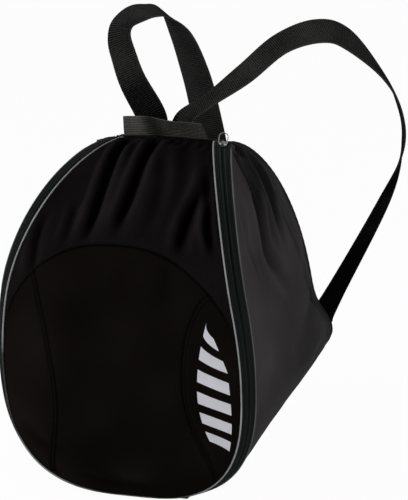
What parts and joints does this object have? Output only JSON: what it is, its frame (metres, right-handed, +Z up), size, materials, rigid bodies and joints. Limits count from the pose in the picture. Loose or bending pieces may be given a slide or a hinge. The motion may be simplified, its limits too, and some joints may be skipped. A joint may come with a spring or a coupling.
{
  "type": "skate bag",
  "caption": "Stuffed skate backpack with an egg-shaped front panel that zips open, piped edges, a grab handle and webbing shoulder straps.",
  "frame": {"origin": "on the floor under the centre of the base", "axes": "+Z up, front panel towards -Y, +X to the right as seen from the front"},
  "size_m": [0.3474, 0.4225, 0.4671],
  "materials": {
    "front_cloth": "matte woven cloth, black",
    "body_cloth": "matte coated cloth, black",
    "piping": "reflective silver tape",
    "zip_tape": "woven zip tape, black",
    "zip_chain": "nylon coil, black",
    "nickel": "nickel plate",
    "webbing": "ribbed webbing, black",
    "handle_webbing": "ribbed webbing, faded black"
  },
  "bodies": {
    "bag": {"outer_piping": "piping", "zip_tape_outer": "zip_tape", "zip_chain_outer": "zip_chain", "zip_stops": "nickel", "gusset_right": "body_cloth", "gusset_left": "body_cloth", "base_panel": "body_cloth", "back_panel": "body_cloth", "back_seam": "body_cloth", "ridge_roll": "front_cloth", "ridge_tape": "webbing", "handle_tack_right": "handle_webbing", "handle_tack_left": "handle_webbing", "strap_patch": "webbing", "strap_tab_right": "webbing", "strap_tab_left": "webbing"},
    "flap": {"front_yoke": "front_cloth", "front_centre_panel": "front_cloth", "front_side_right": "front_cloth", "front_side_left": "front_cloth", "arch_seam": "front_cloth", "side_seam_right": "front_cloth", "side_seam_left": "front_cloth", "inner_piping": "piping", "zip_tape_inner": "zip_tape", "zip_chain_inner": "zip_chain"},
    "slider": {"zip_slider": "nickel"},
    "pull": {"zip_pull": "nickel"},
    "handle": {"grab_handle": "handle_webbing"},
    "right_strap": {"strap_right": "webbing"},
    "left_strap": {"strap_left": "webbing"}
  },
  "joints": [
    {"name": "flap_open", "type": "hinge", "parent": "bag", "child": "flap", "pos_m": [0, -0.012, 0.34], "axis": [-1, 0, 0], "range_deg": [0, 85]},
    {"name": "slider_travel", "type": "hinge", "parent": "flap", "child": "slider", "pos_m": [0.08472, -0.00238, 0.14344], "axis": [0.956, 0.2515, 0.151], "range_deg": [0, 28]},
    {"name": "pull_swing", "type": "hinge", "parent": "slider", "child": "pull", "pos_m": [0.06109, -0.02724, 0.34303], "axis": [0.9504, 0.2684, -0.1573], "range_deg": [-20, 100]},
    {"name": "handle_tilt", "type": "hinge", "parent": "bag", "child": "handle", "pos_m": [0, -0.00745, 0.34075], "axis": [-1, 0, 0], "range_deg": [0, 25]},
    {"name": "right_strap_swing", "type": "hinge", "parent": "bag", "child": "right_strap", "pos_m": [0.006, 0.015, 0.3394], "axis": [0.3367, 0.5936, -0.7309], "range_deg": [-8, 8]},
    {"name": "left_strap_swing", "type": "hinge", "parent": "bag", "child": "left_strap", "pos_m": [-0.024, 0.0115, 0.341], "axis": [-0.24, 0.6165, -0.7499], "range_deg": [-7, 0]}
  ]
}
